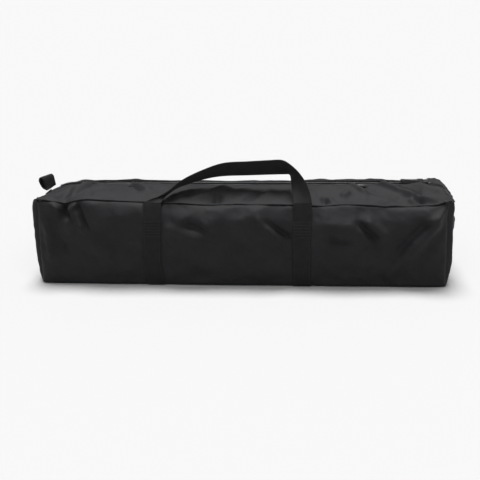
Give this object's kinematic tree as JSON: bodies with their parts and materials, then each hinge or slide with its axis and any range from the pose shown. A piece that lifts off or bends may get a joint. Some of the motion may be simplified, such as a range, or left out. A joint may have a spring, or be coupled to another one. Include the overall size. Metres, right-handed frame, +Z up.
{
  "type": "music stand carry bag",
  "caption": "Long soft carry bag with a zip along the top, two webbing handles sewn down its sides and a webbing pull tab at one end.",
  "frame": {"origin": "middle of the bag on the face that it stands on, under the middle of the base panel", "axes": "+X along the bag, away from the end with the webbing tab; +Y from the front to the back; +Z up"},
  "size_m": [0.5682, 0.1773, 0.1711],
  "materials": {
    "cloth": "black coated oxford cloth with a low sheen",
    "binding": "black woven bias binding",
    "webbing": "black polypropylene webbing, ribbed weave",
    "thread": "black polyester thread",
    "zip_tape": "black woven zip tape",
    "zip_coil": "black nylon coil",
    "slider_metal": "black enamelled zinc, worn at the edges"
  },
  "bodies": {
    "bag": {"front_panel": "cloth", "back_panel": "cloth", "base_panel": "cloth", "left_end_panel": "cloth", "right_end_panel": "cloth", "front_top_binding": "binding", "back_top_binding": "binding", "left_end_binding": "binding", "right_end_binding": "binding", "left_girth_strap": "webbing", "right_girth_strap": "webbing", "front_bartacks": "thread", "back_bartacks": "thread", "left_zip_tape_end": "zip_tape", "right_zip_tape_end": "zip_tape", "left_zip_coil_end": "zip_coil", "right_zip_coil_end": "zip_coil", "left_zip_stop": "slider_metal", "right_zip_stop": "slider_metal", "end_tab_anchor": "webbing"},
    "front_flap": {"top_front_panel": "cloth", "front_zip_tape": "zip_tape", "front_zip_coil": "zip_coil"},
    "back_flap": {"top_back_panel": "cloth", "back_zip_tape": "zip_tape", "back_zip_coil": "zip_coil"},
    "front_handle": {"front_handle": "webbing"},
    "back_handle": {"back_handle": "webbing"},
    "slider": {"slider_body": "slider_metal", "slider_bridge": "slider_metal"},
    "pull": {"pull_tab": "slider_metal"},
    "end_tab": {"end_tab": "webbing"}
  },
  "joints": [
    {"name": "front_flap_open", "type": "hinge", "parent": "bag", "child": "front_flap", "pos_m": [0, -0.065, 0.116], "axis": [1, 0, 0], "range_deg": [0, 110]},
    {"name": "back_flap_open", "type": "hinge", "parent": "bag", "child": "back_flap", "pos_m": [0, 0.065, 0.116], "axis": [-1, 0, 0], "range_deg": [0, 110]},
    {"name": "front_handle_swing", "type": "hinge", "parent": "front_flap", "child": "front_handle", "pos_m": [0, -0.0665, 0.118], "axis": [-1, 0, 0], "range_deg": [-168, 0]},
    {"name": "back_handle_swing", "type": "hinge", "parent": "bag", "child": "back_handle", "pos_m": [0, 0.0686, 0.11], "axis": [-1, 0, 0], "range_deg": [-145, 0]},
    {"name": "slider_travel", "type": "slide", "parent": "bag", "child": "slider", "axis": [-1, 0, 0], "range_m": [0, 0.486]},
    {"name": "pull_swing", "type": "hinge", "parent": "slider", "child": "pull", "pos_m": [0.2478, 0, 0.1338], "axis": [0, 1, 0], "range_deg": [0, 110]},
    {"name": "end_tab_flop", "type": "hinge", "parent": "bag", "child": "end_tab", "pos_m": [-0.279, 0, 0.121], "axis": [0, 1, 0], "range_deg": [-50, 15]}
  ]
}
